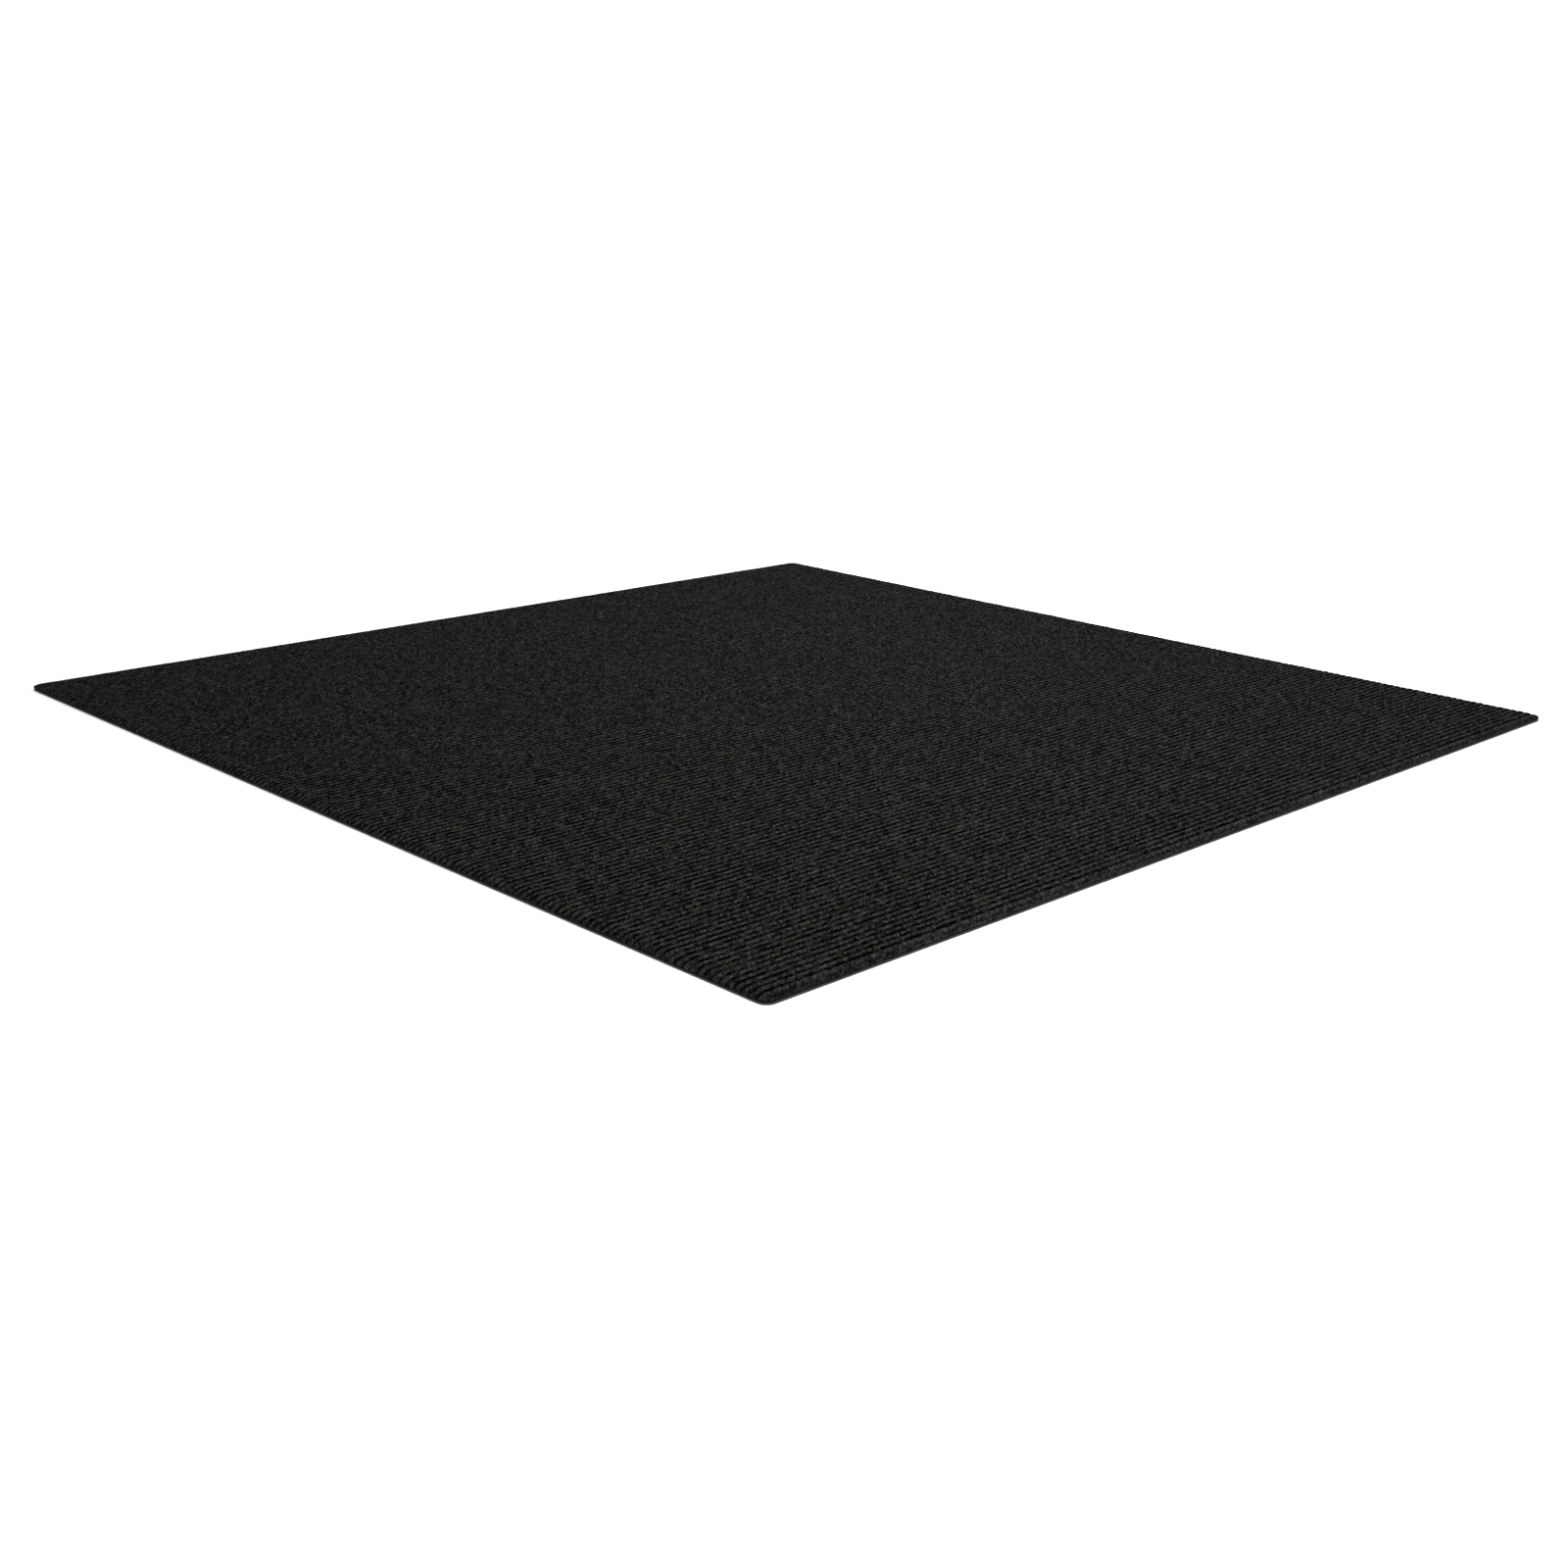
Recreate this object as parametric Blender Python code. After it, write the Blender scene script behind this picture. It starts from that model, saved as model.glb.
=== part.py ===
"""Ribbed carpet tile: a square of needle-punched ribbed carpet on a thin latex backing.

Metres, +Z up. The origin is the middle of the underside, which lies on the floor at z = 0.
The ribs run along X. A die cuts the square, rounds its corners and presses the carpet down
along all four edges.
"""

import math

import bmesh
import bpy

# Overall size of the tile
SIDE = 0.6096
CORNER_RADIUS = 0.00476

# Layers, from the floor up
BACKING_THICKNESS = 0.0008
BOND_GAP = 0.0003
FELT_THICKNESS = 0.0017
RIB_HEIGHT = 0.0012

# Ribs of the carpet face
RIB_PITCH = 0.00405
FLANK_AT = 0.2              # share of the pitch from a groove to the rib's flank point
FLANK_HEIGHT = 0.8          # share of the rib's height at that point

# Edge pressed down by the cutting die
RIM_WIDTH = 0.008
RIM_DROP = 0.0015
RIM_FLATTENING = 0.55       # share of the ribs' height that is pressed out at the cut edge
RIM_STEPS = (1.0, 0.45)     # shares of the rim's width where the pressed slope bends

# Finishes: colour, then roughness
CARPET_FINISH = ((0.012, 0.012, 0.013), 0.95)
LATEX_FINISH = ((0.050, 0.046, 0.038), 0.75)

# How the shapes are made
CORNER_SEGMENTS = 6
TRIM = 0.004                # how far the uncut sheet and the die reach past the cut
COINCIDENT = 1e-6

FACE_BOTTOM = BACKING_THICKNESS + BOND_GAP
GROOVE_TOP = FACE_BOTTOM + FELT_THICKNESS
CREST_TOP = GROOVE_TOP + RIB_HEIGHT


def clear_scene():
    for thing in list(bpy.data.objects):
        bpy.data.objects.remove(thing)


def new_collection(name):
    collection = bpy.data.collections.new(name)
    bpy.context.scene.collection.children.link(collection)
    return collection


def finish_material(name, colour, roughness):
    material = bpy.data.materials.new(name)
    material.use_nodes = True
    shader = material.node_tree.nodes["Principled BSDF"]
    shader.inputs["Base Color"].default_value = (*colour, 1.0)
    shader.inputs["Roughness"].default_value = roughness
    shader.inputs["Metallic"].default_value = 0.0
    return material


def flat_outline(name, points, thickness):
    """A closed outline in the curve's own XY plane, filled, and as thick as stated about that plane."""
    curve = bpy.data.curves.new(name, "CURVE")
    curve.dimensions = "2D"
    curve.fill_mode = "BOTH"
    curve.extrude = thickness / 2
    spline = curve.splines.new("POLY")
    spline.points.add(len(points) - 1)
    for point, (x, y) in zip(spline.points, points):
        point.co = (x, y, 0.0, 1.0)
    spline.use_cyclic_u = True
    return bpy.data.objects.new(name, curve)


def die_outline():
    """The cut of the die: a square with a round at each corner."""
    centre = SIDE / 2 - CORNER_RADIUS
    points = []
    for quarter in range(4):
        start = math.radians(90 * quarter)
        middle_x = centre * (1 if quarter in (0, 3) else -1)
        middle_y = centre * (1 if quarter in (0, 1) else -1)
        for step in range(CORNER_SEGMENTS + 1):
            angle = start + math.radians(90) * step / CORNER_SEGMENTS
            across, up = CORNER_RADIUS * math.cos(angle), CORNER_RADIUS * math.sin(angle)
            points.append((middle_x + across, middle_y + up))
    return points


def sheet_section():
    """The uncut carpet's section across its ribs: across, then up from the middle of its own height."""
    ribs = math.ceil((SIDE / 2 + TRIM) / RIB_PITCH)
    middle = (FACE_BOTTOM + CREST_TOP) / 2
    low, groove, crest = FACE_BOTTOM - middle, GROOVE_TOP - middle, CREST_TOP - middle
    flank = groove + FLANK_HEIGHT * RIB_HEIGHT
    points = [(-ribs * RIB_PITCH, low), (ribs * RIB_PITCH, low), (ribs * RIB_PITCH, groove)]
    for rib in range(ribs - 1, -ribs - 1, -1):
        start = rib * RIB_PITCH
        points.append((start + (1 - FLANK_AT) * RIB_PITCH, flank))
        points.append((start + RIB_PITCH / 2, crest))
        points.append((start + FLANK_AT * RIB_PITCH, flank))
        points.append((start, groove))
    return points


def as_mesh_object(thing, collection):
    """The curve's evaluated shape as a mesh object of the same name, with its loose caps welded on."""
    collection.objects.link(thing)
    bpy.context.view_layer.update()
    evaluated = thing.evaluated_get(bpy.context.evaluated_depsgraph_get())
    mesh = bpy.data.meshes.new_from_object(evaluated)
    mesh.transform(thing.matrix_world)
    name = thing.name
    bpy.data.objects.remove(thing)
    body = bmesh.new()
    body.from_mesh(mesh)
    bmesh.ops.remove_doubles(body, verts=body.verts, dist=COINCIDENT)
    bmesh.ops.recalc_face_normals(body, faces=body.faces)
    body.to_mesh(mesh)
    body.free()
    made = bpy.data.objects.new(name, mesh)
    collection.objects.link(made)
    return made


def pressed_share(distance):
    """How far the die has pressed the sheet at that distance from an edge: 1 at the cut, 0 past the rim."""
    return max(0.0, 1.0 - max(distance, 0.0) / RIM_WIDTH) ** 2


def pressed_height(x, y, height):
    """Where a point of the uncut sheet's top comes to lie once the die has pressed the rim down."""
    along, across = pressed_share(SIDE / 2 - abs(x)), pressed_share(SIDE / 2 - abs(y))
    pressed = along + across - along * across
    below_crest = (CREST_TOP - height) * (1 - RIM_FLATTENING * pressed)
    return CREST_TOP - RIM_DROP * pressed - below_crest


def press_rim(thing):
    """Adds the bends of the pressed rim across the ribs' ends, then lowers the top along all four edges."""
    body = bmesh.new()
    body.from_mesh(thing.data)
    for side in (-1, 1):
        for share in RIM_STEPS:
            place = (side * (SIDE / 2 - RIM_WIDTH * share), 0.0, 0.0)
            everything = body.verts[:] + body.edges[:] + body.faces[:]
            bmesh.ops.bisect_plane(body, geom=everything, dist=COINCIDENT, plane_co=place, plane_no=(1, 0, 0))
    bmesh.ops.triangulate(body, faces=body.faces)
    for vertex in body.verts:
        if vertex.co.z > FACE_BOTTOM + COINCIDENT:
            vertex.co.z = pressed_height(*vertex.co)
    body.to_mesh(thing.data)
    body.free()


def make_backing(parts, material):
    """The latex layer under the carpet, cut flush with it."""
    backing = flat_outline("latex_backing", die_outline(), BACKING_THICKNESS)
    backing.location.z = BACKING_THICKNESS / 2
    backing.data.materials.append(material)
    parts.objects.link(backing)


def make_face(parts, cutters, material):
    """The ribbed carpet: its section drawn out along X, cut by the die, then pressed down along the rim."""
    sheet = flat_outline("ribbed_face", sheet_section(), SIDE + 2 * TRIM)
    sheet.rotation_euler = (math.radians(90), 0.0, math.radians(90))
    sheet.location.z = (FACE_BOTTOM + CREST_TOP) / 2
    face = as_mesh_object(sheet, parts)

    die = flat_outline("cutting_die", die_outline(), CREST_TOP + 2 * TRIM)
    die.location.z = CREST_TOP / 2
    cutter = as_mesh_object(die, cutters)
    cutter.hide_render = True
    cutter.display_type = "WIRE"

    cut = face.modifiers.new("die_cut", "BOOLEAN")
    cut.operation = "INTERSECT"
    cut.solver = "EXACT"
    cut.object = cutter
    bpy.context.view_layer.update()
    evaluated = face.evaluated_get(bpy.context.evaluated_depsgraph_get())
    face.data = bpy.data.meshes.new_from_object(evaluated)
    face.modifiers.clear()

    press_rim(face)
    face.data.materials.clear()
    face.data.materials.append(material)


def main():
    clear_scene()
    parts = new_collection("carpet_tile")
    cutters = new_collection("cutters")
    make_backing(parts, finish_material("latex", *LATEX_FINISH))
    make_face(parts, cutters, finish_material("carpet", *CARPET_FINISH))


main()
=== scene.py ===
import math

import bmesh
import bpy
from mathutils import Matrix, Vector


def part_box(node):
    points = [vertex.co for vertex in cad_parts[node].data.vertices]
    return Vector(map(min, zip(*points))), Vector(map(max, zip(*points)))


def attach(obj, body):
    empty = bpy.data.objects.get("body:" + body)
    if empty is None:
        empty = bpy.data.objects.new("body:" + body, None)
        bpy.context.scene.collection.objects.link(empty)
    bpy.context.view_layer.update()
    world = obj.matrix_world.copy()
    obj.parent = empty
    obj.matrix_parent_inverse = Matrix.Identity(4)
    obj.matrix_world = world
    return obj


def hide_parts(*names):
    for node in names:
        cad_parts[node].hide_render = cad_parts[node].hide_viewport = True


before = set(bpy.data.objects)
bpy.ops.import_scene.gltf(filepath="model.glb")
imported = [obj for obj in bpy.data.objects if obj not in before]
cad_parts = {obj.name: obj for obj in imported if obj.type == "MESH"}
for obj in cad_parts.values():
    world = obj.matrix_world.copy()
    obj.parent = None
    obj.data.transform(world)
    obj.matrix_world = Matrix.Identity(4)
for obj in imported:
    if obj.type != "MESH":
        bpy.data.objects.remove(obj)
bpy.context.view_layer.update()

# Latex backing
# The underside is a thin felt soaked in dark latex, which keeps the fibres in and grips the floor.
# It is cut in one stroke with the carpet, so its edge shows as a narrow dull olive band below it.
CORNER_RADIUS = 0.00476
CORNER_POINTS = 10
OUTLINE_POINTS = 2400           # one for each millimetre of the cut
# For each ring of the cut side: share of the way up, then share of the bulge
LATEX_SIDE = ((0.12, 0.6), (0.35, 1.0), (0.65, 0.9), (0.9, 0.3), (1.0, -0.8))
LATEX_BULGE = 0.00015
LATEX_FRAY = 0.00022            # how far the cut wanders in and out
FINE_FRAYS = 480.0              # to a metre of the cut
BROAD_FRAYS = 60.0
RING_STEP = 0.0009              # how far the fraying differs from one ring to the next
LATEX_SEED = 5.0
COINCIDENT = 1e-6

LATEX_DARK = (0.020, 0.018, 0.014)
LATEX_PALE = (0.033, 0.0355, 0.023)
LATEX_PATCHES = 60.0            # to a metre
LATEX_GRAIN = 1.3               # size of its felt grain, beside the carpet's
# The grain of needled felt: turns in degrees, and lengths along the fibres, across them and upwards
STRAND_TURNS = (24.0, 52.0, -48.0, 82.0)
STRAND_LENGTHS = (0.0030, 0.00045, 0.00045)
STRAND_BENDS = 0.5
STRAND_SHARPNESS = 17.0
FRINGE_TURN = 30.0
FRINGE_LENGTHS = (0.0022, 0.00014, 0.00014)
FRINGE_REACH = 0.0012
TUFT_TURN = 42.0
TUFT_LENGTHS = (0.0023, 0.00076, 0.0009)
SMALL_TUFT_TURN = 60.0
SMALL_TUFT_LENGTHS = (0.0019, 0.0006, 0.0007)
SMALL_TUFT_START = (0.1, 0.3, 0.4)
GLINTS = 1500.0                 # to a metre


class Formula:
    """A value worked out by a node tree, so that a shape or a colour is written as an ordinary sum."""

    def __init__(self, tree, socket):
        self.tree = tree
        self.socket = socket

    def put(self, operation, *values):
        node = self.tree.nodes.new("ShaderNodeMath")
        node.operation = operation
        for socket, value in zip(node.inputs, values):
            feed(self.tree, socket, value)
        return Formula(self.tree, node.outputs[0])

    def __add__(self, other):
        return self.put("ADD", self, other)

    def __sub__(self, other):
        return self.put("SUBTRACT", self, other)

    def __mul__(self, other):
        return self.put("MULTIPLY", self, other)

    def __truediv__(self, other):
        return self.put("DIVIDE", self, other)

    def __pow__(self, other):
        return self.put("POWER", self, other)

    def __rsub__(self, other):
        return self.put("SUBTRACT", other, self)

    def __rtruediv__(self, other):
        return self.put("DIVIDE", other, self)

    def __neg__(self):
        return self.put("MULTIPLY", self, -1.0)

    def __abs__(self):
        return self.put("ABSOLUTE", self)

    __radd__ = __add__

    def least(self, other):
        return self.put("MINIMUM", self, other)

    def most(self, other):
        return self.put("MAXIMUM", self, other)

    def whole(self):
        return self.put("FLOOR", self)

    def fraction(self):
        return self.put("FRACT", self)

    def between(self, low, high):
        """0 below low, 1 above high, and a smooth rise from one to the other."""
        node = self.tree.nodes.new("ShaderNodeMapRange")
        node.interpolation_type = "SMOOTHSTEP"
        feed(self.tree, node.inputs["Value"], self)
        feed(self.tree, node.inputs["From Min"], low)
        feed(self.tree, node.inputs["From Max"], high)
        return Formula(self.tree, node.outputs["Result"])


def feed(tree, socket, value):
    """Links a worked-out value to a socket, or sets a plain one on it."""
    if isinstance(value, Formula):
        tree.links.new(value.socket, socket)
    else:
        socket.default_value = value


def vector(tree, x, y, z):
    """A vector of three values, worked out or plain."""
    node = tree.nodes.new("ShaderNodeCombineXYZ")
    for socket, value in zip(node.inputs, (x, y, z)):
        feed(tree, socket, value)
    return Formula(tree, node.outputs[0])


def parts_of(place):
    """The x, y and z of a vector."""
    node = place.tree.nodes.new("ShaderNodeSeparateXYZ")
    feed(place.tree, node.inputs[0], place)
    return [Formula(place.tree, socket) for socket in node.outputs]


def unevenly(place, scale, detail=1.0, warp=0.0):
    """Smooth random values about 0.5, with scale bumps to a unit of place."""
    node = place.tree.nodes.new("ShaderNodeTexNoise")
    feed(place.tree, node.inputs["Vector"], place)
    feed(place.tree, node.inputs["Scale"], scale)
    feed(place.tree, node.inputs["Detail"], detail)
    feed(place.tree, node.inputs["Distortion"], warp)
    return Formula(place.tree, node.outputs[0])


def new_tree(name, sizes):
    """A tree of geometry nodes: its inputs are a shape to start from, these named sizes and a material."""
    tree = bpy.data.node_groups.new(name, "GeometryNodeTree")
    tree.interface.new_socket("Geometry", in_out="OUTPUT", socket_type="NodeSocketGeometry")
    tree.interface.new_socket("Geometry", in_out="INPUT", socket_type="NodeSocketGeometry")
    for label in sizes:
        tree.interface.new_socket(label, in_out="INPUT", socket_type="NodeSocketFloat")
    tree.interface.new_socket("Material", in_out="INPUT", socket_type="NodeSocketMaterial")
    start = tree.nodes.new("NodeGroupInput")
    return tree, start.outputs, {label: Formula(tree, start.outputs[label]) for label in sizes}


def finished(tree, start, geometry):
    """The tree's end: real faces in place of instances, shaded smooth, in the piece's material."""
    smooth = add_node(tree, "GeometryNodeSetShadeSmooth", Geometry=geometry).outputs[0]
    real = add_node(tree, "GeometryNodeRealizeInstances", Geometry=smooth).outputs[0]
    coloured = add_node(tree, "GeometryNodeSetMaterial", Geometry=real, Material=start["Material"])
    end = tree.nodes.new("NodeGroupOutput")
    tree.links.new(coloured.outputs[0], end.inputs["Geometry"])
    return tree


def add_node(tree, kind, settings=None, **links):
    """A node of that kind, its properties set, and its inputs linked or set by name."""
    node = tree.nodes.new(kind)
    for name, value in (settings or {}).items():
        setattr(node, name, value)
    for name, value in links.items():
        socket = node.inputs[name.replace("_", " ")]
        if isinstance(value, bpy.types.NodeSocket):
            tree.links.new(value, socket)
        else:
            feed(tree, socket, value)
    return node


def worked_out(name, tree, mesh=None, **inputs):
    """A plain mesh object from a tree's result, with the modifier removed again."""
    thing = bpy.data.objects.new(name, mesh or bpy.data.meshes.new(name))
    bpy.context.scene.collection.objects.link(thing)
    maker = thing.modifiers.new(name, "NODES")
    maker.node_group = tree
    for item in tree.interface.items_tree:
        if item.in_out == "INPUT" and item.name.replace(" ", "_") in inputs:
            maker[item.identifier] = inputs[item.name.replace(" ", "_")]
    evaluated = thing.evaluated_get(bpy.context.evaluated_depsgraph_get())
    thing.data = bpy.data.meshes.new_from_object(evaluated)
    thing.modifiers.clear()
    thing.data.name = name
    thing.data.materials.clear()
    thing.data.materials.append(inputs["Material"])
    thing.data.polygons.foreach_set("material_index", [0] * len(thing.data.polygons))
    return thing


def moved(tree, geometry, places, selection=None):
    """Puts the chosen points of a shape, or all of them, in new places."""
    node = add_node(tree, "GeometryNodeSetPosition", Geometry=geometry, Position=places)
    if selection is not None:
        tree.links.new(selection, node.inputs["Selection"])
    return node.outputs["Geometry"]


def position(tree):
    """Where each point of a shape is."""
    return Formula(tree, tree.nodes.new("GeometryNodeInputPosition").outputs[0])


def stretched(place, turn, lengths, start=(0.0, 0.0, 0.0)):
    """The place measured from start, turned about Z by so many degrees, and in lengths of these sizes."""
    node = place.tree.nodes.new("ShaderNodeMapping")
    node.vector_type = "TEXTURE"
    feed(place.tree, node.inputs["Vector"], place)
    node.inputs["Location"].default_value = start
    node.inputs["Rotation"].default_value = (0.0, 0.0, math.radians(turn))
    node.inputs["Scale"].default_value = lengths
    return Formula(place.tree, node.outputs[0])


def mixed(share, low, high):
    """A colour that goes from low to high as share goes from 0 to 1."""
    node = share.tree.nodes.new("ShaderNodeMix")
    node.data_type = "RGBA"
    feed(share.tree, node.inputs[0], share)
    for socket, colour in ((node.inputs[6], low), (node.inputs[7], high)):
        feed(share.tree, socket, colour if isinstance(colour, Formula) else (*colour, 1.0))
    return Formula(share.tree, node.outputs[2])


def scaled(place, amount):
    """A place times an amount, so that what is drawn there grows or shrinks."""
    node = place.tree.nodes.new("ShaderNodeVectorMath")
    node.operation = "SCALE"
    feed(place.tree, node.inputs[0], place)
    feed(place.tree, node.inputs["Scale"], amount)
    return Formula(place.tree, node.outputs[0])


def new_finish(name):
    """A new material: itself, its shader, and the place on the piece in metres."""
    material = bpy.data.materials.new(name)
    material.use_nodes = True
    tree = material.node_tree
    place = Formula(tree, tree.nodes.new("ShaderNodeTexCoord").outputs["Object"])
    return material, tree.nodes["Principled BSDF"], place


def roughened(shader, height, strength):
    """Gives a shader small relief of a height in millimetres."""
    tree = height.tree
    bump = add_node(tree, "ShaderNodeBump", Strength=strength, Distance=0.001, Height=height)
    tree.links.new(bump.outputs["Normal"], shader.inputs["Normal"])


def fine_line(noise, sharpness):
    """Thin winding lines: 1 where the noise crosses its middle, falling to 0 beside it."""
    return (1.0 - abs(noise - 0.5) * sharpness).most(0.0)


def ragged(place):
    """The place pushed about in fine streaks, so that what is drawn there gets fibrous edges."""
    tree = place.tree
    laid = stretched(place, FRINGE_TURN, FRINGE_LENGTHS)
    noise = add_node(tree, "ShaderNodeTexNoise", Vector=laid, Scale=1.0, Detail=1.0)
    streaks = Formula(tree, noise.outputs["Color"])
    node = add_node(tree, "ShaderNodeVectorMath", {"operation": "MULTIPLY_ADD"})
    for socket, value in zip(node.inputs, (streaks, (FRINGE_REACH, FRINGE_REACH, FRINGE_REACH), place)):
        feed(tree, socket, value)
    return Formula(tree, node.outputs[0])


def tufts(place):
    """Cells about one unit across, each with two random values of its own from 0 to 1."""
    node = add_node(place.tree, "ShaderNodeTexVoronoi", Vector=place, Scale=1.0)
    return parts_of(Formula(place.tree, node.outputs["Color"]))[:2]


def felt_grain_group():
    """Needled fibres close up: crossing strands, clumps and their hue, and specks for painted glints on
    single fibres.
    """
    group = bpy.data.node_groups.new("needled_felt_grain", "ShaderNodeTree")
    group.interface.new_socket("Place", in_out="INPUT", socket_type="NodeSocketVector")
    group.interface.new_socket("Size", in_out="INPUT", socket_type="NodeSocketFloat")
    for label in ("Strands", "Clumps", "Glints", "Hue"):
        group.interface.new_socket(label, in_out="OUTPUT", socket_type="NodeSocketFloat")
    start = group.nodes.new("NodeGroupInput")
    end = group.nodes.new("NodeGroupOutput")
    size = Formula(group, start.outputs["Size"])
    place = scaled(Formula(group, start.outputs["Place"]), 1.0 / size)

    # Strands that cross each other in several directions
    strands = 0.0
    for number, turn in enumerate(STRAND_TURNS):
        laid = stretched(place, turn, STRAND_LENGTHS, (0.3 * number, 0.1, 0.2))
        strands = fine_line(unevenly(laid, 1.0, 1.0, STRAND_BENDS), STRAND_SHARPNESS).most(strands)

    # Tufts of two sizes, laid over each other, each with a fibrous edge
    fringed = ragged(place)
    larger, hue = tufts(stretched(fringed, TUFT_TURN, TUFT_LENGTHS))
    smaller, _ = tufts(stretched(fringed, SMALL_TUFT_TURN, SMALL_TUFT_LENGTHS, SMALL_TUFT_START))
    clumps = (larger.between(0.08, 0.55) * 0.92 + 0.08) * (smaller.between(0.0, 0.75) * 0.7 + 0.3)
    # Specks where single fibres get a painted glint
    glints = unevenly(place, GLINTS, 1.0).between(0.56, 0.68)
    for label, value in (("Strands", strands), ("Clumps", clumps), ("Glints", glints), ("Hue", hue)):
        feed(group, end.inputs[label], value)
    return group


felt_grain = felt_grain_group()


def felt_grain_at(place, size):
    """Strands, clumps, glints and hue of needled felt at a place."""
    node = place.tree.nodes.new("ShaderNodeGroup")
    node.node_tree = felt_grain
    feed(place.tree, node.inputs["Place"], place)
    node.inputs["Size"].default_value = size
    return [Formula(place.tree, socket) for socket in node.outputs]


def latex_finish():
    """Dark latex with the felt showing through it, and paler bare felt along the cut."""
    material, shader, place = new_finish("latex_soaked_felt")
    strands, clumps, _, _ = felt_grain_at(place, LATEX_GRAIN)
    patches = unevenly(place, LATEX_PATCHES, 3.0).between(0.35, 0.65)
    geometry = place.tree.nodes.new("ShaderNodeNewGeometry")
    _, _, facing = parts_of(Formula(place.tree, geometry.outputs["Normal"]))
    cut = 1.0 - abs(facing).between(0.2, 0.7)
    tone = (clumps * 0.35 + strands * 0.3 + patches * 0.15 + cut * 0.35).least(1.0)
    feed(place.tree, shader.inputs["Base Color"], mixed(tone, LATEX_DARK, LATEX_PALE))
    feed(place.tree, shader.inputs["Roughness"], 0.62 + clumps * 0.25)
    shader.inputs["Specular IOR Level"].default_value = 0.3
    roughened(shader, clumps * 0.12 + strands * 0.08 + patches * 0.05, 0.7)
    return material


def latex_tree():
    """A thin flat square with round corners, open on top, whose side wanders in and out."""
    sizes = ("Side", "Corner Radius", "Thickness", "Fray", "Bulge", "Seed")
    tree, start, size = new_tree("latex_layer", sizes)
    square = size["Side"] * 0.5 - size["Corner Radius"]

    # The cut's outline: a square with round corners, with a point at each millimetre or so
    outline = add_node(tree, "GeometryNodeCurvePrimitiveQuadrilateral",
                       Width=size["Side"], Height=size["Side"]).outputs[0]
    rounded = add_node(tree, "GeometryNodeFilletCurve", {"mode": "POLY"}, Curve=outline,
                       Count=CORNER_POINTS, Radius=size["Corner Radius"]).outputs[0]
    rounded = add_node(tree, "GeometryNodeResampleCurve", Curve=rounded, Count=OUTLINE_POINTS).outputs[0]
    shape = add_node(tree, "GeometryNodeFillCurve", {"mode": "NGONS"}, Curve=rounded).outputs[0]
    shape = add_node(tree, "GeometryNodeFlipFaces", Mesh=shape).outputs[0]

    # The side rises from the underside in rings that wander in and out, as soft felt does under a die
    neighbours = Formula(tree, tree.nodes.new("GeometryNodeInputMeshEdgeNeighbors").outputs["Face Count"])
    ring = neighbours.put("COMPARE", neighbours, 1.0, 0.1).socket
    for number, (rise, bulge) in enumerate(LATEX_SIDE):
        extruded = add_node(tree, "GeometryNodeExtrudeMesh", {"mode": "EDGES"},
                            Mesh=shape, Selection=ring, Offset_Scale=0.0)
        ring = extruded.outputs["Top"]
        x, y, z = parts_of(position(tree))
        out_x, out_y = x - x.least(square).most(-square), y - y.least(square).most(-square)
        reach = ((out_x ** 2.0 + out_y ** 2.0) ** 0.5).most(COINCIDENT)
        place = vector(tree, x, y, size["Seed"] + number * RING_STEP)
        fray = (unevenly(place, FINE_FRAYS, 2.0) - 0.5) * 2.0 + (unevenly(place, BROAD_FRAYS, 1.0) - 0.5)
        from_square = (size["Corner Radius"] + size["Bulge"] * bulge + fray * size["Fray"]) / reach
        raised = vector(tree, x - out_x + out_x * from_square, y - out_y + out_y * from_square,
                        size["Thickness"] * rise)
        shape = moved(tree, extruded.outputs["Mesh"], raised, ring)
    return finished(tree, start, shape)


def closed(thing):
    """Fills the open end of a shape with one flat face, and turns all faces outwards."""
    shape = bmesh.new()
    shape.from_mesh(thing.data)
    rim = [edge for edge in shape.edges if edge.is_boundary]
    bmesh.ops.edgeloop_fill(shape, edges=rim)
    for face in shape.faces:
        face.smooth = len(face.verts) < 5
    bmesh.ops.recalc_face_normals(shape, faces=shape.faces)
    shape.to_mesh(thing.data)
    shape.free()


latex_low, latex_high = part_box("latex_backing")
SIDE = latex_high.x - latex_low.x
latex = worked_out("latex_layer", latex_tree(), Side=SIDE, Corner_Radius=CORNER_RADIUS,
                   Thickness=latex_high.z, Fray=LATEX_FRAY, Bulge=LATEX_BULGE, Seed=LATEX_SEED,
                   Material=latex_finish())
closed(latex)
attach(latex, "root")
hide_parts("latex_backing")

# Ribbed carpet
# The tile's face is one felt of black polyester fibre, needled from below so that it stands up in
# straight round ribs. The die that cuts the square rounds its corners and presses all four edges down.
RIB_PITCH = 0.00405
RIB_HEIGHT = 0.0012
RIB_ROUNDNESS = 2.6             # a higher power makes fuller ribs with narrower grooves between them
RIM_WIDTH = 0.008
RIM_DROP = 0.0015
RIM_FLATTENING = 0.35           # share of the ribs' height that is pressed out along the side rims
END_RIM = 0.7                   # the ribs' pressed ends, as a share of the rim's width
ROWS_PER_RIB = 5
GROOVE_CROWDING = 0.4           # how far the rows gather towards the grooves
STATIONS = 60                   # from the middle of a rib to its cut end
RIM_STATIONS = 5
RIM_CROWDING = 1.4              # a higher power gathers those more towards the cut
WANDER = 0.0003                 # how far the needling strays sideways
WANDERS = (40.0, 170.0)         # broad and narrow ones, to a metre
STATION_STRAY = 0.007           # how far a station strays along its rib
STATION_STRAYS = 120.0          # to a metre
UNEVENNESS = 0.00014            # of the crests, from one stretch to the next
LUMPS = (30.0, 150.0)           # broad and narrow ones, to a metre
FILLED_GROOVES = 95.0           # changes of a groove's depth to a metre
FILLED_SHARE = 0.45             # of the ribs' height, where a groove is filled most
CARPET_SEED = 11.0
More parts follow.
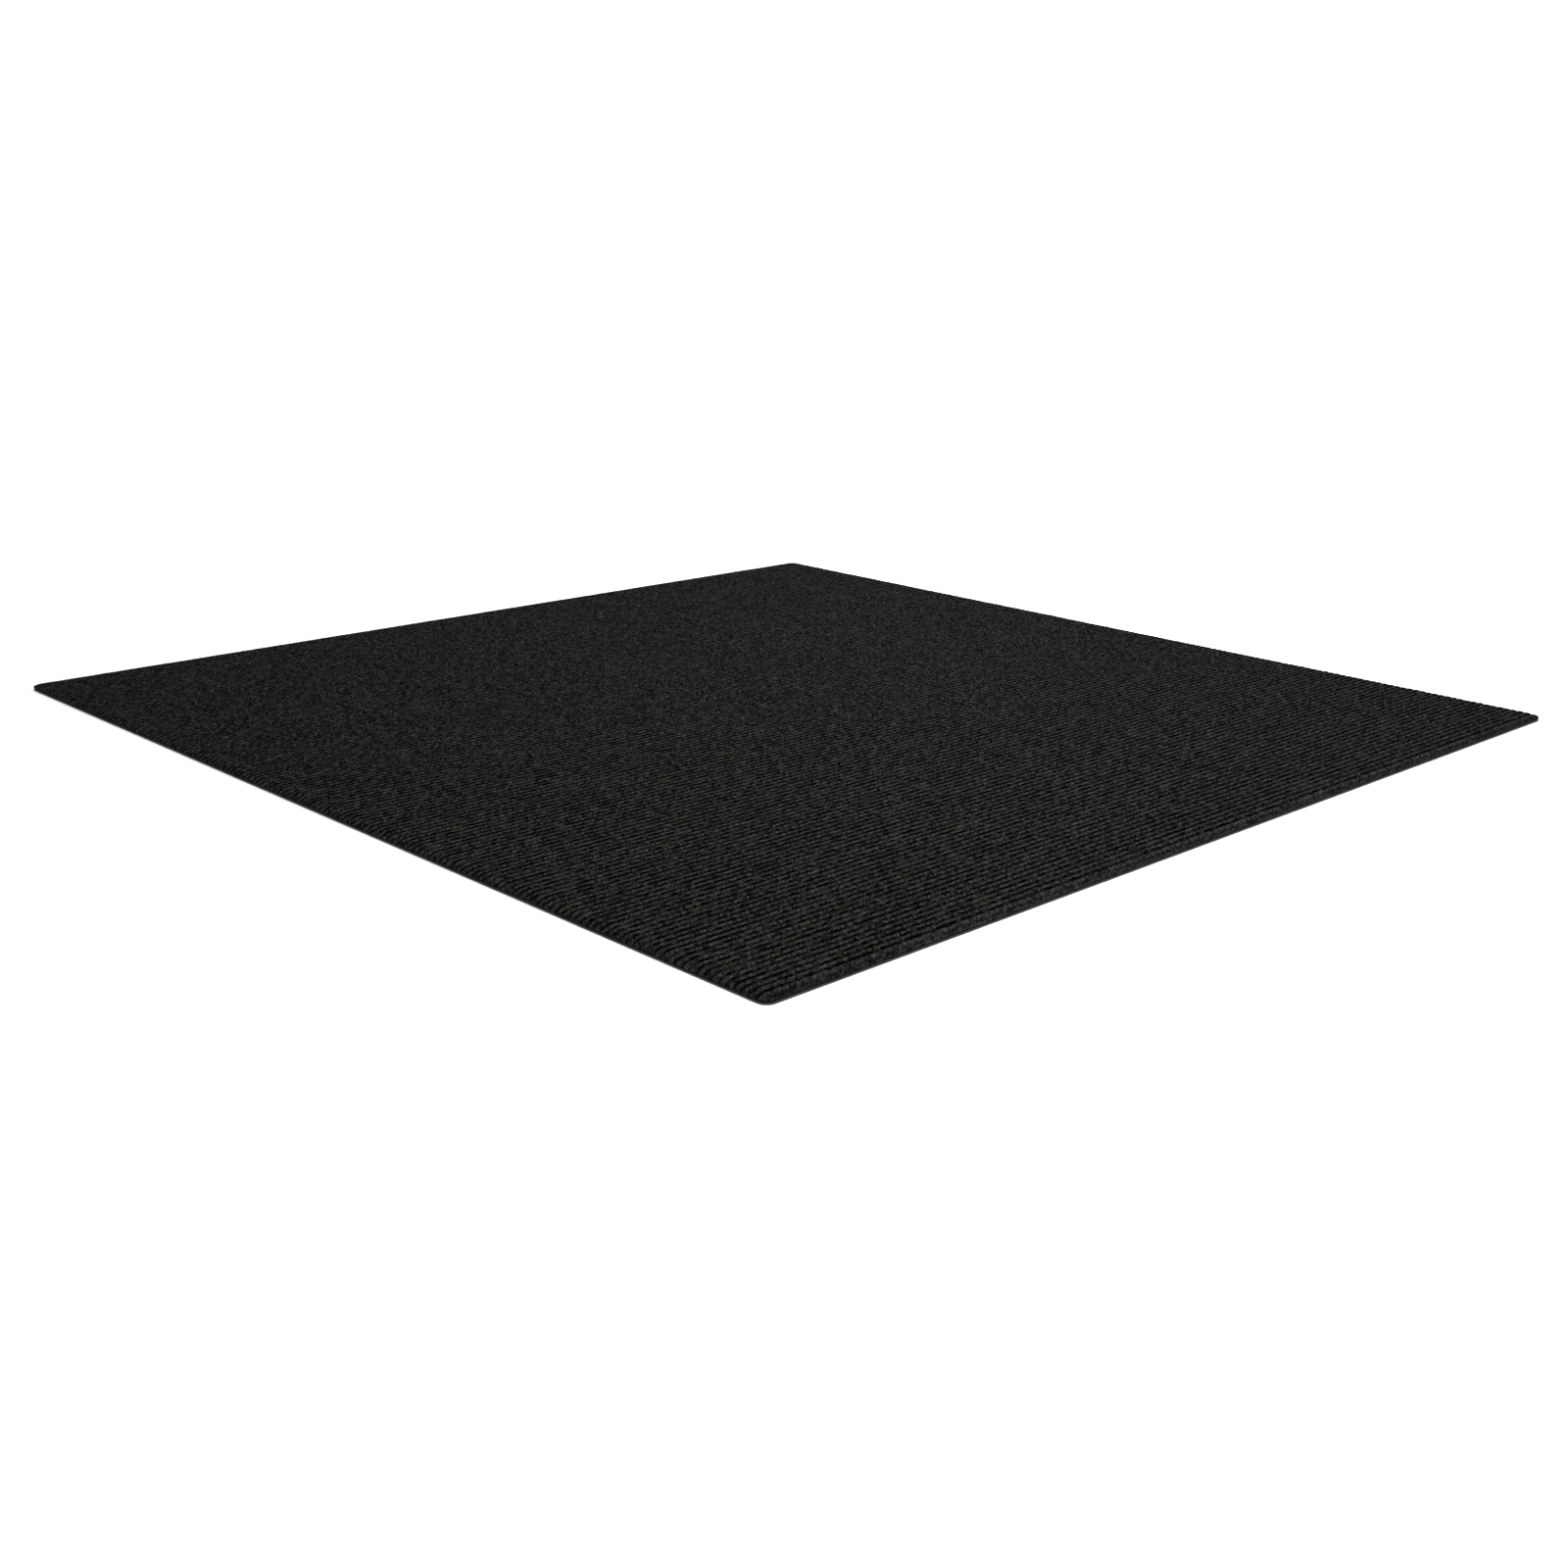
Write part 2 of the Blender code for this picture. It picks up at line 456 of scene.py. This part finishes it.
# For each ring of the cut side: share of the way down, then how far out
CUT_SIDE = ((0.35, 0.00012), (0.6, 0.0), (1.0, -0.0005))

GROOVE_STRAY = 0.30             # how far a groove strays sideways, as a share of the pitch
GROOVE_STRAYS = 300.0           # to a metre
BRIDGES = 230.0                 # changes from an open groove to a bridged one, to a metre
# The grooves' painted shade: how wide it is
GROOVE_SHADE_HALF = 0.11              # half the dark width of a groove, as a share of the pitch
RIM_TINT = 0.005                # how far in from the cut the rim looks different
CORNER_TINT = 0.08              # how far in from a corner the rim is darker
PARTING_TURN = 45.0
PARTING_LENGTHS = (0.0026, 0.0007, 0.0009)
PARTING_START = (0.7, 0.2, 0.1)
# The tufts' own colours run from black to olive and mauve; the mauve end also carries a painted cool sheen
FIBRE_BLACK = (0.0010, 0.0010, 0.0012)
FIBRE_OLIVE = (0.0535, 0.0571, 0.0349)
FIBRE_MAUVE_AND_SHEEN = (0.0392, 0.0342, 0.0639)
FIBRE_PAINTED_GLINT = (0.100, 0.100, 0.097)

face_low, face_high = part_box("ribbed_face")


def named(tree, geometry, name, value, domain="POINT"):
    """Keeps a worked-out value on the mesh under that name, for a material to read."""
    node = add_node(tree, "GeometryNodeStoreNamedAttribute", {"data_type": "FLOAT", "domain": domain},
                    Geometry=geometry, Name=name, Value=value)
    return node.outputs["Geometry"]


def carpet_tree():
    """The ribbed top with its pressed rims and round corners, and the cut side, open below."""
    sizes = ("Side", "Corner Radius", "Rib Pitch", "Rib Height", "Crest Level", "Underside Level",
             "Rim Width", "Rim Drop", "Rim Flattening", "Wander", "Unevenness", "Seed")
    tree, start, size = new_tree("ribbed_carpet", sizes)
    half = size["Side"] * 0.5
    square = half - size["Corner Radius"]
    rows = math.ceil(SIDE / 2 / RIB_PITCH * ROWS_PER_RIB)

    # A grid vertex's place is at first its station's number along the rib and its row's number across
    grid = add_node(tree, "GeometryNodeMeshGrid", Size_X=2.0 * STATIONS, Size_Y=2.0 * rows,
                    Vertices_X=2 * STATIONS + 1, Vertices_Y=2 * rows + 1)
    station, row, _ = [value.put("ROUND", value) for value in parts_of(position(tree))]

    # Rows gather towards the grooves, and the last one lies on the cut
    turns = row / ROWS_PER_RIB
    turn = turns.fraction()
    phase = turn - (turn * math.tau).put("SINE", turn * math.tau) * (GROOVE_CROWDING / math.tau)
    y = ((turns.whole() + phase) * size["Rib Pitch"]).least(half).most(-half)
    rib_count = y / size["Rib Pitch"]

    # Stations crowd towards the cut ends, which follow the round corners
    overhang = (abs(y) - square).most(0.0)
    end_x = square + (size["Corner Radius"] ** 2.0 - overhang ** 2.0).most(0.0) ** 0.5
    inward = STATIONS - abs(station)
    in_rim = (inward / RIM_STATIONS).least(1.0) ** RIM_CROWDING * size["Rim Width"]
    step = (half - size["Rim Width"]) / (STATIONS - RIM_STATIONS)
    past_rim = (inward - RIM_STATIONS).most(0.0) * step
    from_end = in_rim + past_rim
    x = station.put("SIGN", station) * end_x * (1.0 - from_end / half)

    # The needling strays, but the cut stays straight
    place = vector(tree, x, y, size["Seed"])
    inside_x = from_end.between(0.0, size["Rim Width"])
    inside_y = (half - abs(y)).between(0.0, size["Rim Width"])
    broad, narrow = unevenly(place, WANDERS[0], 2.0), unevenly(place, WANDERS[1], 1.0)
    stray = (broad - 0.5) * 3.0 + (narrow - 0.5) * 1.2
    x_stray = (unevenly(place, STATION_STRAYS, 1.0) - 0.5) * STATION_STRAY * inside_x
    spread = vector(tree, x + x_stray, y + stray * size["Wander"] * inside_y, 0.0)

    # Height: round ribs whose grooves fill in here and there, pressed down along the rim
    groove_number = (rib_count + 0.5).whole()
    along_groove = vector(tree, x * FILLED_GROOVES, groove_number * 3.7, size["Seed"])
    filled = unevenly(along_groove, 1.0, 1.0).between(0.50, 0.66) * FILLED_SHARE
    away = abs(rib_count.fraction() * 2.0 - 1.0)
    profile = ((1.0 - away ** RIB_ROUNDNESS).most(0.0) ** 0.5).most(filled)
    press_x = (1.0 - from_end / (size["Rim Width"] * END_RIM)).most(0.0) ** 2.0
    press_y = (1.0 - (half - abs(y)) / size["Rim Width"]).most(0.0) ** 2.0
    pressed = press_x + press_y - press_x * press_y
    below_crest = (1.0 - profile) * size["Rib Height"] * (1.0 - press_y * size["Rim Flattening"])
    broad, narrow = unevenly(place, LUMPS[0], 1.0), unevenly(place, LUMPS[1], 1.0)
    lumps = (broad - 0.5) * 1.5 + (narrow - 0.5) * 2.0
    z = size["Crest Level"] - size["Rim Drop"] * pressed - below_crest + lumps * size["Unevenness"]
    spread_x, spread_y, _ = parts_of(spread)
    shape = named(tree, grid.outputs["Mesh"], "rib_count", rib_count)
    shape = named(tree, shape, "pressed", pressed)
    shape = moved(tree, shape, vector(tree, spread_x, spread_y, z))

    # The cut side: three rings of faces down to the underside, bulging a little and then tucked in
    neighbours = Formula(tree, tree.nodes.new("GeometryNodeInputMeshEdgeNeighbors").outputs["Face Count"])
    ring = neighbours.put("COMPARE", neighbours, 1.0, 0.1).socket
    for share, bulge in CUT_SIDE:
        extruded = add_node(tree, "GeometryNodeExtrudeMesh", {"mode": "EDGES"},
                            Mesh=shape, Selection=ring, Offset_Scale=0.0)
        ring = extruded.outputs["Top"]
        px, py, pz = parts_of(position(tree))
        out_x, out_y = px - px.least(square).most(-square), py - py.least(square).most(-square)
        reach = ((out_x ** 2.0 + out_y ** 2.0) ** 0.5).most(COINCIDENT)
        lower = vector(tree, px + out_x / reach * bulge, py + out_y / reach * bulge,
                       pz - (pz - size["Underside Level"]) * share)
        shape = moved(tree, extruded.outputs["Mesh"], lower, ring)
    return finished(tree, start, shape)


def kept_value(tree, name):
    """The value that the mesh keeps under that name, for a material."""
    return Formula(tree, add_node(tree, "ShaderNodeAttribute", {"attribute_name": name}).outputs["Fac"])


def carpet_finish():
    """Black felt: grey tufts, painted shade down the rib flanks that makes the grooves nearly black, a
    painted cool sheen at a flat angle and on the pressed rims, and painted glints.
    """
    material, shader, place = new_finish("needled_black_fibre")
    tree = place.tree
    strands, clumps, glints, tuft_hue = felt_grain_at(place, 1.0)
    pressed = kept_value(tree, "pressed")
    x, y, _ = parts_of(place)
    rib_end = abs(x).between(SIDE / 2 - RIM_TINT, SIDE / 2 - 0.001)
    side_rim = abs(y).between(SIDE / 2 - RIM_TINT, SIDE / 2 - 0.0005)
    corner = side_rim * abs(x).between(SIDE / 2 - CORNER_TINT, SIDE / 2 - 0.01)
    cut = pressed.between(0.94, 0.99)

    # Painted shade makes the open grooves nearly black, and where fibres bridge them it is faint
    sideways = (unevenly(place, GROOVE_STRAYS, 2.0) - 0.5) * GROOVE_STRAY
    strayed = kept_value(tree, "rib_count") + 0.5 + sideways
    off_groove = abs(strayed.fraction() - 0.5)
    along_groove = vector(tree, x * BRIDGES, strayed.whole() * 5.3, 2.0)
    open_here = unevenly(along_groove, 1.0, 1.0).between(0.40, 0.55).most(rib_end * 0.3)
    wide = GROOVE_SHADE_HALF + open_here * 0.06
    groove_shade = (1.0 - off_groove.between(wide, wide + 0.10)) * (0.15 + open_here * 0.85)
    groove_shade = groove_shade * (1.0 - side_rim * 0.6) * (1.0 - cut * 0.6) * (1.0 - rib_end * 0.25)
    unshaded_crest = off_groove.between(0.05, 0.36)
    partings = stretched(place, PARTING_TURN, PARTING_LENGTHS, PARTING_START)
    parted = unevenly(partings, 1.0, 1.0).between(0.56, 0.66)

    # The tufts' tone, darkened by the painted shade of the grooves and the lower rib flanks, and their hue
    tone = clumps * (0.20 + strands * 0.80) * (1.0 - groove_shade * 0.995) * (1.0 - parted * 0.5)
    # Painted shade on the flanks: the tone falls away from the crests towards the grooves, except on the
    # side rims
    tone = tone * (0.35 + unshaded_crest.most(side_rim * 0.7) * 0.65)
    tone = tone * (1.0 + cut * rib_end * 0.2 + side_rim * 0.12 - corner * 0.37)
    # A painted cool sheen: half the hue turns mauve where the view grows flat and on the pressed rims; the
    # other half is the tufts' own hue
    grazing_sheen = Formula(tree, tree.nodes.new("ShaderNodeLayerWeight").outputs["Facing"])
    grazing_sheen = grazing_sheen.between(0.55, 0.85)
    hue = (grazing_sheen * 0.9 + pressed * 0.5).least(1.0) * 0.5 + tuft_hue * 0.5
    colour = mixed(tone, FIBRE_BLACK, mixed(hue, FIBRE_OLIVE, FIBRE_MAUVE_AND_SHEEN))
    # Painted glints: pale specks on the strands outside the grooves' painted shade
    colour = mixed(glints * strands * (1.0 - groove_shade) * 0.35, colour, FIBRE_PAINTED_GLINT)
    feed(tree, shader.inputs["Base Color"], colour)
    feed(tree, shader.inputs["Roughness"], 0.9 - strands * 0.25)
    shader.inputs["Specular IOR Level"].default_value = 0.0
    roughened(shader, clumps * 0.35 + strands * 0.15 - groove_shade * 0.45, 0.8)
    return material


carpet = worked_out("ribbed_carpet", carpet_tree(), Side=SIDE, Corner_Radius=CORNER_RADIUS,
                    Rib_Pitch=RIB_PITCH, Rib_Height=RIB_HEIGHT, Crest_Level=face_high.z,
                    Underside_Level=face_low.z, Rim_Width=RIM_WIDTH, Rim_Drop=RIM_DROP,
                    Rim_Flattening=RIM_FLATTENING, Wander=WANDER, Unevenness=UNEVENNESS,
                    Seed=CARPET_SEED, Material=carpet_finish())
closed(carpet)
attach(carpet, "root")
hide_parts("ribbed_face")

# Loose fibres
# Needling leaves the ends and loops of single coarse fibres standing out of the felt all over the ribs.
# Under the die's pressed rim they lie down, and at the cut they stick out of the side as short stubs.
FIBRE_RADIUS = 0.00006
FIBRE_SIDES = 3
FIBRE_POINTS = 5
FIBRE_THINNING = 0.55           # share of its radius that a fibre loses by its far end
FIBRE_SINK = 0.00025            # how deep a fibre's ends sit in the felt
FIBRE_SCALES = (0.65, 1.2)      # smallest and largest
# For each kind of fibre: its reach, height and sway, and how far its far end stays open
FIBRE_KINDS = {"low_arc": (0.0034, 0.00055, 0.0004, 0.0),
               "high_loop": (0.0018, 0.00075, 0.0003, 0.0),
               "loose_end": (0.0024, 0.0007, 0.0006, 1.0),
               "laid_strand": (0.0048, 0.00035, 0.0008, 0.1)}
STUB_KINDS = {"short_stub": (0.0011, 0.0004, 0.0002, 1.0),
              "stub_loop": (0.0016, 0.00045, 0.0003, 0.2)}
FIBRE_STRAY = 0.0008            # how far one may reach past the cut
LOWEST_FIBRE = 0.0002
FIBRES_PER_PIECE = 6600         # of 26 triangles each
FIBRE_PIECES = 4
STUBS = 2400
FIBRE_SEED = 23.0
FIBRE_STREAKS = 2600.0          # to a metre
STRAND_DARK = (0.0015, 0.0015, 0.0015)
STRAND_GREY = (0.014, 0.0141, 0.0138)
STRAND_HIGHLIGHT = (0.09, 0.09, 0.09)


def one_fibre(tree, reach, height, sway, open_end, radius, sink):
    """A thin three-sided tube along a curve, thinner towards its far end and closed at both ends."""
    line = add_node(tree, "GeometryNodeCurvePrimitiveLine").outputs["Curve"]
    line = add_node(tree, "GeometryNodeResampleCurve", Curve=line, Count=FIBRE_POINTS).outputs["Curve"]
    along = Formula(tree, tree.nodes.new("GeometryNodeSplineParameter").outputs["Factor"])
    arch = along * (1.0 - along) * 4.0 * (1.0 - open_end) + along ** 0.7 * open_end
    side = (along * 5.0).put("SINE", along * 5.0) * sway
    line = moved(tree, line, vector(tree, (along - 0.5) * reach, side, arch * height - sink))
    thin = add_node(tree, "GeometryNodeSetCurveRadius", Curve=line,
                    Radius=1.0 - along ** 2.0 * FIBRE_THINNING).outputs[0]
    ring = add_node(tree, "GeometryNodeCurvePrimitiveCircle", Resolution=FIBRE_SIDES, Radius=radius)
    return add_node(tree, "GeometryNodeCurveToMesh", Curve=thin, Profile_Curve=ring.outputs["Curve"],
                    Fill_Caps=True).outputs["Mesh"]


def random_between(tree, low, high, seed):
    """A random value for each point, from low to high."""
    node = add_node(tree, "FunctionNodeRandomValue", {"data_type": "FLOAT"}, Seed=seed)
    node.inputs[2].default_value = low
    node.inputs[3].default_value = high
    return Formula(tree, node.outputs[1])


def fibres_tree(name, kinds, on_side):
    """Fibres of several kinds, scattered over the carpet's top or its cut side and turned every way."""
    sizes = ("Fibres", "Radius", "Sink", "Side", "Stray", "Lowest", "Seed")
    tree, start, size = new_tree(name, sizes)
    chosen = tree.nodes.new("GeometryNodeGeometryToInstance")
    for reach, height, sway, open_end in kinds.values():
        strand = one_fibre(tree, reach, height, sway, open_end, size["Radius"], size["Sink"])
        tree.links.new(strand, chosen.inputs[0])

    # Only the faces that are seen carry fibres, and the same number lies on each square millimetre
    _, _, facing = parts_of(Formula(tree, tree.nodes.new("GeometryNodeInputNormal").outputs["Normal"]))
    on_cut = Formula(tree, add_node(tree, "GeometryNodeInputNamedAttribute", Name="pressed").outputs[0])
    upright = abs(facing).put("LESS_THAN", abs(facing), 0.5) * on_cut.put("GREATER_THAN", on_cut, 0.98)
    upward = facing.put("GREATER_THAN", facing, 0.6)
    bare = 1.0 - (upright if on_side else upward)
    carrier = add_node(tree, "GeometryNodeDeleteGeometry", {"domain": "FACE"}, Geometry=start["Geometry"],
                       Selection=bare).outputs[0]
    area = Formula(tree, tree.nodes.new("GeometryNodeInputMeshFaceArea").outputs[0])
    total = add_node(tree, "GeometryNodeAttributeStatistic", {"domain": "FACE"}, Geometry=carrier,
                     Attribute=area).outputs["Sum"]
    scatter = add_node(tree, "GeometryNodeDistributePointsOnFaces", Mesh=carrier,
                       Density=size["Fibres"] / Formula(tree, total), Seed=size["Seed"])

    # A fibre leans off the surface by a random turn, and each one keeps its own tone
    turn = random_between(tree, 0.0, math.tau, size["Seed"] + 1.0)
    spun = add_node(tree, "FunctionNodeAxisAngleToRotation", Axis=(0.0, 0.0, 1.0), Angle=turn).outputs[0]
    standing = add_node(tree, "FunctionNodeRotateRotation", {"rotation_space": "LOCAL"},
                        Rotation=scatter.outputs["Rotation"], Rotate_By=spun).outputs[0]
    pressed = Formula(tree, add_node(tree, "GeometryNodeInputNamedAttribute", Name="pressed").outputs[0])
    length = random_between(tree, *FIBRE_SCALES, size["Seed"] + 2.0) * (1.0 - pressed * 0.3)
    scales = vector(tree, length, length, length * (1.0 - pressed * 0.5))
    placed = add_node(tree, "GeometryNodeInstanceOnPoints", Points=scatter.outputs["Points"],
                      Instance=chosen.outputs[0], Pick_Instance=True, Rotation=standing,
                      Scale=scales).outputs["Instances"]
    tone = random_between(tree, 0.0, 1.0, size["Seed"] + 3.0)
    toned = named(tree, placed, "fibre_tone", tone, "INSTANCE")

    # None reaches into the floor or far past the cut
    real = add_node(tree, "GeometryNodeRealizeInstances", Geometry=toned).outputs[0]
    x, y, z = parts_of(position(tree))
    reach = size["Side"] * 0.5 + size["Stray"]
    kept = vector(tree, x.least(reach).most(-reach), y.least(reach).most(-reach), z.most(size["Lowest"]))
    return finished(tree, start, moved(tree, real, kept))


def strand_finish():
    """Coarse black fibre: most strands are nearly black, some grey, and a few carry a painted highlight.
    """
    material, shader, place = new_finish("loose_black_fibre")
    tree = place.tree
    tone = kept_value(tree, "fibre_tone")
    streaks = unevenly(place, FIBRE_STREAKS, 1.0)
    colour = mixed((tone * 1.15).least(1.0) * (0.6 + streaks * 0.8), STRAND_DARK, STRAND_GREY)
    # A few strands get a painted highlight in their colour
    colour = mixed(tone.between(0.94, 0.99) * streaks.between(0.3, 0.6), colour, STRAND_HIGHLIGHT)
    feed(tree, shader.inputs["Base Color"], colour)
    feed(tree, shader.inputs["Roughness"], 0.42 + streaks * 0.3)
    shader.inputs["Specular IOR Level"].default_value = 0.03
    roughened(shader, streaks * 0.05, 0.5)
    return material


strand = strand_finish()


def scattered(name, kinds, on_side, count, seed):
    """One piece of so many loose fibres of those kinds."""
    return worked_out(name, fibres_tree(name, kinds, on_side), carpet.data.copy(), Fibres=count,
                      Radius=FIBRE_RADIUS, Sink=FIBRE_SINK, Side=SIDE, Stray=FIBRE_STRAY,
                      Lowest=LOWEST_FIBRE, Seed=seed, Material=strand)


for number in range(FIBRE_PIECES):
    fibres = scattered(f"rib_fibres_{number + 1}", FIBRE_KINDS, False, FIBRES_PER_PIECE,
                       FIBRE_SEED + 10 * number)
    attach(fibres, "root")
stubs = scattered("edge_fibres", STUB_KINDS, True, STUBS, FIBRE_SEED + 5)
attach(stubs, "root")

# Floor
# A plain white studio floor, wide enough to reach past the horizon of the picture.
# It lies a hair below the tile, so that the tile's underside and the floor never share a plane.
FLOOR_REACH = 30.0
FLOOR_GAP = 0.00003
FLOOR_WHITE = (0.90, 0.90, 0.90)

floor_mesh = bpy.data.meshes.new("floor")
floor_shape = bmesh.new()
bmesh.ops.create_grid(floor_shape, x_segments=1, y_segments=1, size=FLOOR_REACH)
floor_shape.to_mesh(floor_mesh)
floor_shape.free()
floor = bpy.data.objects.new("floor", floor_mesh)
floor.location.z = -FLOOR_GAP
bpy.context.scene.collection.objects.link(floor)
floor_material, floor_shader, _ = new_finish("white_floor")
floor_shader.inputs["Base Color"].default_value = (*FLOOR_WHITE, 1.0)
floor_shader.inputs["Roughness"].default_value = 0.9
floor.data.materials.append(floor_material)

# Light
# Even white light from all round, as in a light tent, one long lamp that hangs along the tile's
# diagonal, and a cool window low down on the right.
WORLD_STRENGTH = 1.15
TENT_WHITE = (0.978, 0.978, 1.0)
LAMP_WHITE = (1.0, 1.0, 0.91)
LAMP_POWER = 5.3
LAMP_LENGTH = 1.3
LAMP_WIDTH = 0.15
LAMP_PLACE = (0.12, -0.12, 0.5)
LAMP_TURN = math.radians(45)
WINDOW_WHITE = (0.90, 0.94, 1.0)
WINDOW_POWER = 4.5
WINDOW_SIZE = 0.45
WINDOW_PLACE = Vector((0.50, -0.95, 0.36))

world = bpy.data.worlds.new("light_tent")
world.use_nodes = True
world.node_tree.nodes["Background"].inputs["Color"].default_value = (*TENT_WHITE, 1.0)
world.node_tree.nodes["Background"].inputs["Strength"].default_value = WORLD_STRENGTH
bpy.context.scene.world = world

lamp_data = bpy.data.lights.new("long_lamp", "AREA")
lamp_data.energy = LAMP_POWER
lamp_data.color = LAMP_WHITE
lamp_data.shape = "RECTANGLE"
lamp_data.size = LAMP_LENGTH
lamp_data.size_y = LAMP_WIDTH
lamp = bpy.data.objects.new("long_lamp", lamp_data)
lamp.location = LAMP_PLACE
lamp.rotation_euler = (0.0, 0.0, LAMP_TURN)
bpy.context.scene.collection.objects.link(lamp)

window_data = bpy.data.lights.new("low_window", "AREA")
window_data.energy = WINDOW_POWER
window_data.color = WINDOW_WHITE
window_data.size = WINDOW_SIZE
window = bpy.data.objects.new("low_window", window_data)
window.location = WINDOW_PLACE
window.rotation_euler = (-WINDOW_PLACE).to_track_quat("-Z", "Y").to_euler()
bpy.context.scene.collection.objects.link(window)

# Camera
# It stands low in front of the near corner and looks along the tile's diagonal, a little to the left.
# Its place, turn and focal length were worked out from where the tile's four corners are in the picture.
PICTURE_SIDE = 1600
FOCAL_PIXELS = 1988.0
AZIMUTH = math.radians(-44.47)
ELEVATION = math.radians(16.937)
ROLL = math.radians(1.03)
DISTANCE = 1.581 * SIDE
TARGET = Vector((-0.1772 * SIDE, -0.1828 * SIDE, 0.0))
NEAREST_SEEN = 0.01

camera_data = bpy.data.cameras.new("camera")
camera_data.lens = camera_data.sensor_width * FOCAL_PIXELS / PICTURE_SIDE
camera_data.clip_start = NEAREST_SEEN
camera = bpy.data.objects.new("camera", camera_data)
back = Vector((math.sin(AZIMUTH) * math.cos(ELEVATION), -math.cos(AZIMUTH) * math.cos(ELEVATION),
               math.sin(ELEVATION)))
level = Vector((math.cos(AZIMUTH), math.sin(AZIMUTH), 0.0))
upright = back.cross(level)
right = level * math.cos(ROLL) + upright * math.sin(ROLL)
up = upright * math.cos(ROLL) - level * math.sin(ROLL)
camera_turn = Matrix((right, up, back)).transposed().to_4x4()
camera.matrix_world = Matrix.Translation(TARGET + back * DISTANCE) @ camera_turn
bpy.context.scene.collection.objects.link(camera)
bpy.context.scene.camera = camera
bpy.context.scene.view_settings.view_transform = "Standard"
